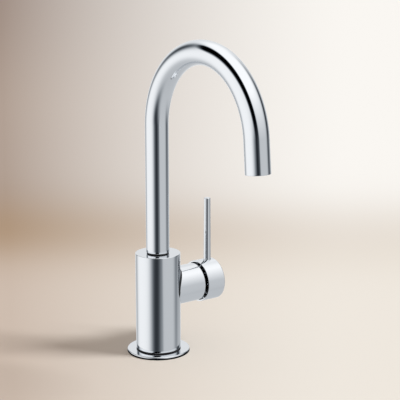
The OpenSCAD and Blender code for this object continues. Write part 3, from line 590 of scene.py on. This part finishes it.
knob = turned([
    (0, knob_len, 0), (knob_r, knob_len, knob_edge), (knob_r, grub_at + 2 * access_r, 0),
    (knob_r, grub_at - 1.2 * access_r, 0), (knob_r, 0, 0.3 * MM), (skirt_r, 0, 0.2 * MM),
    (skirt_r, knob_len - knob_end_t, 0.5 * MM),
    (hub_r, knob_len - knob_end_t, 0.5 * MM), (hub_r, hub_set, 0.3 * MM), (0, hub_set, 0),
], along_handle(knob_low.x), closed=False, around=192)
knob = drilled(knob, access_r, (grub_x, 0, access_start), (grub_x, 0, access_end))
fitted(made("knob_cap", knob), "handle", "chrome", chrome, "knob")
dressed("knob_screw", steel)

# --- Lever -------------------------------------------------------------------------------
# The lever is a slim chrome rod, tapered a little to its flat tip and screwed upright onto a
# stud in the knob. Its foot is cut to the knob's round.
lever_low, lever_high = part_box("lever_rod")
lever_x = (lever_low.x + lever_high.x) / 2
lever_base_r = 3.5 * MM
lever_tip_r = 3.15 * MM
lever_edge = 0.7 * MM
lever_foot = 18.7 * MM
foot_mark = lever_foot + 0.1 * MM
foot_gap = 0.02 * MM

lever_shape = turned([
    (0, lever_foot, 0), (lever_base_r, lever_foot, 0),
    (lever_tip_r, lever_high.z - handle_z, lever_edge), (0, lever_high.z - handle_z, 0),
], Matrix.Translation((lever_x, 0, handle_z)), closed=False, around=96, steps=6)
for vert in lever_shape.verts:
    if vert.co.z < handle_z + foot_mark:
        vert.co.z = handle_z + math.sqrt(knob_r ** 2 - vert.co.y ** 2) + foot_gap
fitted(made("lever_pin", lever_shape), "handle", "chrome", chrome, "lever_rod")
dressed("lever_stud", steel)

# --- Studio light ------------------------------------------------------------------------
# The faucet stands in a pale room, with a broad softbox at its left. A black cloth is bowed
# over the softbox, and dark cloths stand in front, at the right and behind to the left: they
# give the chrome its dark streaks. Shades are as seen in the chrome, from 0 to 255.
CAMERA_AZIMUTH = -127.05
WHITE = 255
TINT_CURVES = (2.3, 2.2, 2.1)
CHROME_LOSS = 0.87
PLAIN_LIGHT = (0.525, 0.5, 0.48)
PALE_WALL = (0.85, 0.81, 0.76)
SUN_FROM = (0.728, -0.686)
SUN_HEIGHT = math.radians(44)
SUN_SOFTNESS = math.radians(19)
SUN_STRENGTH = 2.3
SUN_COLOUR = (0.965, 1.01, 1.05)
ROOM_SHADES = ((-90, 180), (0, 190), (50, 250), (90, 250))
CLOTHS = (
    (-90, 0, 70, 40, 0, 2, 240),
    (-135, 10, 15, 30, -20, 1, 20),
    (-10, -20, 20, 30, -20, 1, 55),
    (120, 10, 15, 30, -30, 1, 20),
    (150, 0, 30, 20, 0, 2, 60),
    (180, 0, 50, 30, 0, 2, 220),
)
BOW_AXIS = (-65, -20)
BOW_SHADE = 0
BOW_INNER, BOW_INNER_FADE = 50, 15
BOW_OUTER, BOW_OUTER_FADE = 80, 10
BOW_START, BOW_START_FADE = -50, 12
BOW_END, BOW_END_FADE = 50, 80

world = bpy.data.worlds.new("studio")
bpy.context.scene.world = world
world.use_nodes = True
room = world.node_tree
sight = room.nodes.new("ShaderNodeTexCoord").outputs["Generated"]


def value(operation, *inputs, tree=room):
    """The result of a Math node, in the room's shader or another."""
    node = tree.nodes.new("ShaderNodeMath")
    node.operation = operation
    for socket, given in zip(node.inputs, inputs):
        if isinstance(given, bpy.types.NodeSocket):
            tree.links.new(given, socket)
        else:
            socket.default_value = given
    return node.outputs[0]


def along(direction, vector=sight, tree=room):
    """How far a vector reaches along a direction: by default, the line of sight."""
    node = tree.nodes.new("ShaderNodeVectorMath")
    node.operation = "DOT_PRODUCT"
    tree.links.new(vector, node.inputs[0])
    node.inputs[1].default_value = direction
    return node.outputs["Value"]


def facing(azimuth, elevation, lean=0):
    """A place's own axes, seen from the faucet: towards it, to its right and up. Azimuth 0 is
    below the camera and grows to the image's right."""
    turn = Matrix.Rotation(math.radians(CAMERA_AZIMUTH + azimuth), 3, "Z")
    turn = turn @ Matrix.Rotation(math.radians(-elevation), 3, "Y")
    turn = turn @ Matrix.Rotation(math.radians(lean), 3, "X")
    return turn.col[0], turn.col[1], turn.col[2]


def degrees(angle):
    return value("DEGREES", angle)


def profile(angle, points, low, high):
    """A value read along (angle, value) points by straight lines."""
    node = room.nodes.new("ShaderNodeValToRGB")
    ramp = node.color_ramp
    for _ in points[2:]:
        ramp.elements.new(0.5)
    for element, (at, height) in zip(ramp.elements, points):
        element.position = (at - low) / (high - low)
        element.color = (height, height, height, 1)
    room.links.new(value("DIVIDE", value("SUBTRACT", angle, low), high - low), node.inputs["Fac"])
    return node.outputs["Color"]


def shaded(level, shade, share):
    """Moves a level towards a shade by a share."""
    return value("MULTIPLY_ADD", value("SUBTRACT", shade / WHITE, level), share, level)


def hung(level, azimuth, elevation, wide, high, lean, firmness, shade):
    """A soft oval cloth or light at a place, with half sizes in degrees. A higher firmness
    makes its edge harder."""
    ahead, aside, above = facing(azimuth, elevation, lean)
    across = value("DIVIDE", degrees(value("ARCTAN2", along(aside), along(ahead))), wide)
    upward = value("DIVIDE", degrees(value("ARCSINE", along(above))), high)
    distance = value("ADD", value("MULTIPLY", across, across), value("MULTIPLY", upward, upward))
    share = value("EXPONENT", value("MULTIPLY", value("POWER", distance, firmness), -1))
    return shaded(level, shade, share)


def smooth_rise(measure, start, width, tree=room):
    """Rises smoothly from 0 at start to 1 after the width."""
    node = tree.nodes.new("ShaderNodeMapRange")
    node.interpolation_type = "SMOOTHSTEP"
    node.inputs["From Min"].default_value = start
    node.inputs["From Max"].default_value = start + width
    tree.links.new(measure, node.inputs["Value"])
    return node.outputs["Result"]


height_angle = degrees(value("ARCSINE", along((0, 0, 1))))
room_level = profile(height_angle, [(at, shade / WHITE) for at, shade in ROOM_SHADES], -90, 90)
for cloth in CLOTHS:
    room_level = hung(room_level, *cloth)
bow_ahead, bow_aside, bow_above = facing(*BOW_AXIS)
bow_angle = degrees(value("ARCCOSINE", along(bow_ahead)))
bow_turn = degrees(value("ARCTAN2", along(bow_aside), along(bow_above)))
bow_share = value("MULTIPLY", smooth_rise(bow_angle, BOW_INNER, BOW_INNER_FADE),
                  value("SUBTRACT", 1, smooth_rise(bow_angle, BOW_OUTER, BOW_OUTER_FADE)))
bow_share = value("MULTIPLY", bow_share, smooth_rise(bow_turn, BOW_START, BOW_START_FADE))
bow_share = value("MULTIPLY", bow_share,
                  value("SUBTRACT", 1, smooth_rise(bow_turn, BOW_END, BOW_END_FADE)))
room_level = value("MAXIMUM", shaded(room_level, BOW_SHADE, bow_share), 0)

tinted = room.nodes.new("ShaderNodeCombineColor")
for channel, curve in zip(("Red", "Green", "Blue"), TINT_CURVES):
    room.links.new(value("POWER", room_level, curve), tinted.inputs[channel])
mirrored = room.nodes["Background"]
room.links.new(tinted.outputs["Color"], mirrored.inputs["Color"])
mirrored.inputs["Strength"].default_value = 1 / CHROME_LOSS
plain = room.nodes.new("ShaderNodeBackground")
plain.inputs["Color"].default_value = (*PLAIN_LIGHT, 1)
pale = room.nodes.new("ShaderNodeBackground")
pale.inputs["Color"].default_value = (*PALE_WALL, 1)
ray = room.nodes.new("ShaderNodeLightPath")
shown = plain.outputs["Background"]
for ray_kind, view in (("Is Camera Ray", pale), ("Is Glossy Ray", mirrored)):
    by_ray = room.nodes.new("ShaderNodeMixShader")
    room.links.new(ray.outputs[ray_kind], by_ray.inputs["Fac"])
    room.links.new(shown, by_ray.inputs[1])
    room.links.new(view.outputs["Background"], by_ray.inputs[2])
    shown = by_ray.outputs["Shader"]
room.links.new(shown, room.nodes["World Output"].inputs["Surface"])

sun_data = bpy.data.lights.new("key_lamp", "SUN")
sun_data.energy = SUN_STRENGTH
sun_data.color = SUN_COLOUR
sun_data.angle = SUN_SOFTNESS
sun = bpy.data.objects.new("key_lamp", sun_data)
bpy.context.scene.collection.objects.link(sun)
sun.visible_glossy = False
sun_from = Vector((*SUN_FROM, 0)).normalized() * math.cos(SUN_HEIGHT)
sun_from.z = math.sin(SUN_HEIGHT)
sun.rotation_euler = sun_from.to_track_quat("Z", "Y").to_euler()

# --- Worktop and backdrop ----------------------------------------------------------------
# The faucet stands on a flat, seamless beige sheet that runs far back. Its colour carries painted
# light and shade: painted light makes it paler to the right, painted shade darkens its far left,
# most at the far top left, and a soft band of painted shade, deeper at the left, lies across it
# behind the faucet. Colours are as seen, from 0 to 255. The chrome mirrors only a black contact
# shadow painted on the sheet close round the flange, and beyond it the room.
CAMERA_PLACE = Vector((-0.6211, -0.8893, 0.3985))
CAMERA_SIGHT = Vector((0.58712, 0.77774, -0.22457))
FAN_FRONT = 0.95
# Painted light and shade: the left colours are darker and the right ones paler, as painted light falling
# off to the left, and the far left is painted darker than the near left.
FAR_LEFT = (175, 158, 146)
FAR_RIGHT = (248, 245, 240)
NEAR_LEFT = (204, 187, 173)
NEAR_RIGHT = (237, 230, 220)
# Where the far colours, with their painted shade, give way to the near ones.
NEAR_START, NEAR_WIDTH = 0.215, 0.08
# A soft band of painted shade across the sheet behind the faucet, deeper at the left.
BAND_PLACE, BAND_WIDTH = 0.258, 0.031
BAND_LEFT, BAND_RIGHT = 0.43, 0.15
SHADE_BAND_COLOUR = (145, 102, 18)
# The far top-left corner is painted darker still: painted shade.
TOP_LEFT_SHADE = (156, 139, 129)
TOP_START, TOP_WIDTH = 0.04, 0.12
FAN_LEFT, FAN_WIDTH = -0.168, 0.297
FAN_CURVE = 1.5
# A black contact shadow painted on the sheet close round the flange. Only reflections see it.
PAINTED_FOOT_SHADOW = (8, 8, 8)
FOOT_REACH, FOOT_FADE = 32 * MM, 6 * MM
SHEET_REACH = 40


def paint(red, green, blue):
    """A colour as seen, turned into the amounts that a shader takes."""
    return (*((shade / WHITE) ** 2.2 for shade in (red, green, blue)), 1)


def blend(share, first, second):
    """Mixes two of the sheet's colours, each given as a colour or as a socket."""
    node = sheet_tree.nodes.new("ShaderNodeMix")
    node.data_type = "RGBA"
    for socket, given in zip((node.inputs[0], node.inputs[6], node.inputs[7]),
                             (share, first, second)):
        if isinstance(given, bpy.types.NodeSocket):
            sheet_tree.links.new(given, socket)
        else:
            socket.default_value = given
    return node.outputs[2]


def measured(operation, *inputs):
    """The result of a Math node in the sheet's shader."""
    return value(operation, *inputs, tree=sheet_tree)


def across_sheet(direction):
    """How far a point of the sheet lies along a direction."""
    return along(direction, spot, sheet_tree)


sheet = material_of("backdrop_sheet", (0.78, 0.71, 0.63), 0, 0.9, Specular_IOR_Level=0)
sheet_tree = sheet.node_tree
spot = sheet_tree.nodes.new("ShaderNodeTexCoord").outputs["Object"]
onward = Vector((CAMERA_SIGHT.x, CAMERA_SIGHT.y, 0)).normalized()
rightward = Vector((onward.y, -onward.x, 0))
depth = measured("SUBTRACT", across_sheet(onward), CAMERA_PLACE.dot(onward))
depth = measured("MAXIMUM", depth, FAN_FRONT)
aside = measured("SUBTRACT", across_sheet(rightward), CAMERA_PLACE.dot(rightward))
nearness = measured("DIVIDE", CAMERA_PLACE.z, depth)
fan = measured("SUBTRACT", measured("DIVIDE", aside, depth), FAN_LEFT)
fan = measured("MINIMUM", measured("MAXIMUM", measured("DIVIDE", fan, FAN_WIDTH), 0), 1)
# Painted light: the sheet is painted paler towards the right.
unlit = measured("SUBTRACT", 1, fan)
paler = measured("SUBTRACT", 1, measured("POWER", unlit, FAN_CURVE))
far_left = blend(smooth_rise(nearness, TOP_START, TOP_WIDTH, sheet_tree),
                 paint(*TOP_LEFT_SHADE), paint(*FAR_LEFT))
far_colour = blend(paler, far_left, paint(*FAR_RIGHT))
near_colour = blend(paler, paint(*NEAR_LEFT), paint(*NEAR_RIGHT))
near_share = smooth_rise(nearness, NEAR_START, NEAR_WIDTH, sheet_tree)
# The soft band of painted shade, laid over the sheet's painted light and shade.
off_band = measured("DIVIDE", measured("SUBTRACT", nearness, BAND_PLACE), BAND_WIDTH)
off_band = measured("MULTIPLY", off_band, off_band)
band = measured("EXPONENT", measured("MULTIPLY", off_band, -1))
band_depth = measured("MULTIPLY_ADD", paler, BAND_RIGHT - BAND_LEFT, BAND_LEFT)
sheet_colour = blend(measured("MULTIPLY", band, band_depth), blend(near_share, far_colour, near_colour),
                     paint(*SHADE_BAND_COLOUR))

# Reflections see the sheet painted black close round the flange, a painted contact shadow, and past it
# they see through the sheet to the room.
mirrored_ray = sheet_tree.nodes.new("ShaderNodeLightPath").outputs["Is Glossy Ray"]
surface = sheet_tree.nodes["Principled BSDF"]
sheet_tree.links.new(blend(mirrored_ray, sheet_colour, paint(*PAINTED_FOOT_SHADOW)),
                     surface.inputs["Base Color"])
from_axis = measured("SQRT", measured("ADD", measured("POWER", across_sheet((1, 0, 0)), 2),
                                      measured("POWER", across_sheet((0, 1, 0)), 2)))
cleared = sheet_tree.nodes.new("ShaderNodeMixShader")
see_room = sheet_tree.nodes.new("ShaderNodeBsdfTransparent")
past_foot = smooth_rise(from_axis, FOOT_REACH, FOOT_FADE, sheet_tree)
sheet_tree.links.new(measured("MULTIPLY", mirrored_ray, past_foot), cleared.inputs["Fac"])
sheet_tree.links.new(surface.outputs["BSDF"], cleared.inputs[1])
sheet_tree.links.new(see_room.outputs["BSDF"], cleared.inputs[2])
sheet_tree.links.new(cleared.outputs["Shader"],
                     sheet_tree.nodes["Material Output"].inputs["Surface"])

floor_bm = bmesh.new()
bmesh.ops.create_grid(floor_bm, x_segments=1, y_segments=1, size=SHEET_REACH)
floor = made("studio_floor", floor_bm)
floor.data.materials.append(sheet)

# --- Camera ------------------------------------------------------------------------------
# The camera stands in front and to the left, a little above the spout, and looks slightly down.
CAMERA_LENS = 106.39
SENSOR_WIDTH = 36

scene = bpy.context.scene
scene.view_settings.view_transform = "Standard"
camera_data = bpy.data.cameras.new("camera")
camera_data.lens = CAMERA_LENS
camera_data.sensor_width = SENSOR_WIDTH
camera_data.clip_start = 0.01
camera_data.clip_end = 200
camera = bpy.data.objects.new("camera", camera_data)
scene.collection.objects.link(camera)
scene.camera = camera
camera.location = CAMERA_PLACE
camera.rotation_euler = CAMERA_SIGHT.to_track_quat("-Z", "Y").to_euler()
